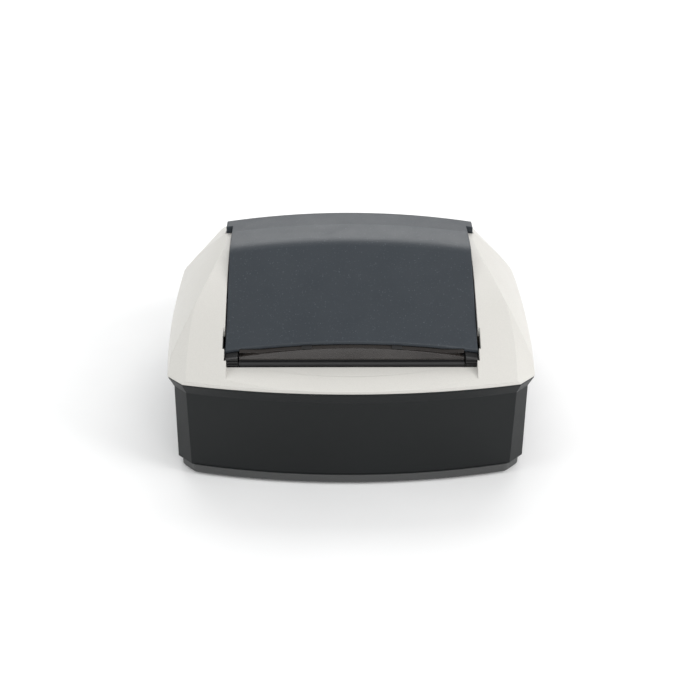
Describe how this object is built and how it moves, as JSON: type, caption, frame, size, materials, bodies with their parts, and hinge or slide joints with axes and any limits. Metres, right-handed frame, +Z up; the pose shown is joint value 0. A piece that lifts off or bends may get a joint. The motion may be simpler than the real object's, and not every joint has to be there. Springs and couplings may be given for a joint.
{
  "type": "counterfeit bill detector",
  "caption": "Compact counter-top banknote tester: grey moulded body, dark hinged lid over a through note path with rollers, smoked strip at the mouth, display and keys behind.",
  "frame": {"origin": "on the surface the feet stand on, under the middle of the body", "axes": "+Z up, +X to the right seen from the note exit, -Y towards the note exit, +Y towards the operator"},
  "size_m": [0.1348, 0.1254, 0.0738],
  "materials": {
    "shell": "satin, very fine texture",
    "lid": "satin with a fine sparkle texture",
    "base": "satin",
    "plate": "satin",
    "smoked": "polished, smoked and translucent",
    "black_trim": "fine matt",
    "guide": "smooth matt",
    "panel": "smooth matt",
    "key": "soft matt",
    "display": "polished",
    "rubber": "matt",
    "belt": "matt",
    "steel": "plated",
    "shaft": "ground",
    "brass": "machined",
    "nylon": "moulded",
    "board": "solder resist",
    "chip": "moulded",
    "window": "polished",
    "white": "smooth",
    "cell": "shrink sleeve"
  },
  "bodies": {
    "housing": {"base_housing": "base", "bottom_plate": "plate", "feet": "rubber", "case_screws": "steel", "case_pillars": "shell", "top_shell": "shell", "battery": "cell", "battery_hatch": "plate", "main_board": "board", "board_chips": "chip", "power_inlet": "black_trim", "update_socket": "steel", "switch_body": "black_trim", "side_plate_left": "steel", "side_plate_right": "steel", "cross_bars": "steel", "bushes": "brass", "lower_guide": "guide", "image_sensor": "guide", "sensor_window": "window", "magnetic_heads": "steel", "motor": "steel", "gear_stud": "shaft", "encoder_sensor": "chip", "drive_belt": "belt", "hinge_pins": "shaft"},
    "lid": {"top_lid": "lid", "smoked_lip": "smoked", "lip_blocks": "black_trim", "upper_guide": "guide", "platen": "white", "lid_board": "board", "idler_brackets": "nylon", "operator_panel": "panel", "panel_board": "board", "display_glass": "display", "display_module": "white"},
    "latch_right": {"latch_right": "lid"},
    "latch_left": {"latch_left": "lid"},
    "key_1": {"key_1": "key"},
    "key_2": {"key_2": "key"},
    "key_3": {"key_3": "key"},
    "front_idler": {"front_idler_axle": "shaft", "front_idler_rollers": "nylon"},
    "rear_idler": {"rear_idler_axle": "shaft", "rear_idler_rollers": "nylon"},
    "front_drive": {"front_shaft": "shaft", "front_hubs": "nylon", "front_tyres": "rubber", "front_gear": "nylon", "front_pulley": "nylon"},
    "rear_drive": {"rear_shaft": "shaft", "rear_hubs": "nylon", "rear_tyres": "rubber", "rear_pulley": "nylon", "encoder_disc": "black_trim"},
    "compound_gear": {"compound_gear": "nylon"},
    "motor_rotor": {"motor_shaft": "shaft", "motor_pinion": "brass"},
    "power_rocker": {"power_rocker": "black_trim"}
  },
  "joints": [
    {"name": "lid_hinge", "type": "hinge", "parent": "housing", "child": "lid", "pos_m": [0, 0.045, 0.0471], "axis": [-1, 0, 0], "range_deg": [0, 50]},
    {"name": "latch_right_slide", "type": "slide", "parent": "lid", "child": "latch_right", "axis": [-1, 0, 0], "range_m": [0, 0.0009], "stiffness_N_per_m": 600, "springref_m": -0.0004},
    {"name": "latch_left_slide", "type": "slide", "parent": "lid", "child": "latch_left", "axis": [1, 0, 0], "range_m": [0, 0.0009], "stiffness_N_per_m": 600, "springref_m": -0.0004},
    {"name": "key_1_press", "type": "slide", "parent": "lid", "child": "key_1", "axis": [0, -0.4898, -0.8718], "range_m": [0, 0.0005], "stiffness_N_per_m": 1500, "springref_m": -0.0003},
    {"name": "key_2_press", "type": "slide", "parent": "lid", "child": "key_2", "axis": [0, -0.4898, -0.8718], "range_m": [0, 0.0005], "stiffness_N_per_m": 1500, "springref_m": -0.0003},
    {"name": "key_3_press", "type": "slide", "parent": "lid", "child": "key_3", "axis": [0, -0.4898, -0.8718], "range_m": [0, 0.0005], "stiffness_N_per_m": 1500, "springref_m": -0.0003},
    {"name": "front_idler_spin", "type": "hinge", "parent": "lid", "child": "front_idler", "pos_m": [0, -0.02472, 0.05769], "axis": [1, 0, 0], "continuous": true},
    {"name": "rear_idler_spin", "type": "hinge", "parent": "lid", "child": "rear_idler", "pos_m": [0, 0.01442, 0.05926], "axis": [1, 0, 0], "continuous": true},
    {"name": "front_drive_spin", "type": "hinge", "parent": "housing", "child": "front_drive", "pos_m": [0, -0.02272, 0.04738], "axis": [1, 0, 0], "continuous": true},
    {"name": "rear_drive_spin", "type": "hinge", "parent": "housing", "child": "rear_drive", "pos_m": [0, 0.01326, 0.04883], "axis": [1, 0, 0], "continuous": true},
    {"name": "compound_gear_spin", "type": "hinge", "parent": "housing", "child": "compound_gear", "pos_m": [0, -0.02064, 0.03423], "axis": [1, 0, 0], "continuous": true},
    {"name": "motor_spin", "type": "hinge", "parent": "housing", "child": "motor_rotor", "pos_m": [0, -0.008, 0.0328], "axis": [1, 0, 0], "continuous": true},
    {"name": "power_rocker_tilt", "type": "hinge", "parent": "housing", "child": "power_rocker", "pos_m": [-0.0623, 0.024, 0.02], "axis": [0, 0, -1], "range_deg": [0, 14]}
  ],
  "couplings": [
    {"joint": "rear_drive_spin", "follows": "front_drive_spin", "ratio": 1},
    {"joint": "compound_gear_spin", "follows": "front_drive_spin", "ratio": -2.6667},
    {"joint": "motor_spin", "follows": "front_drive_spin", "ratio": 8.5333}
  ]
}
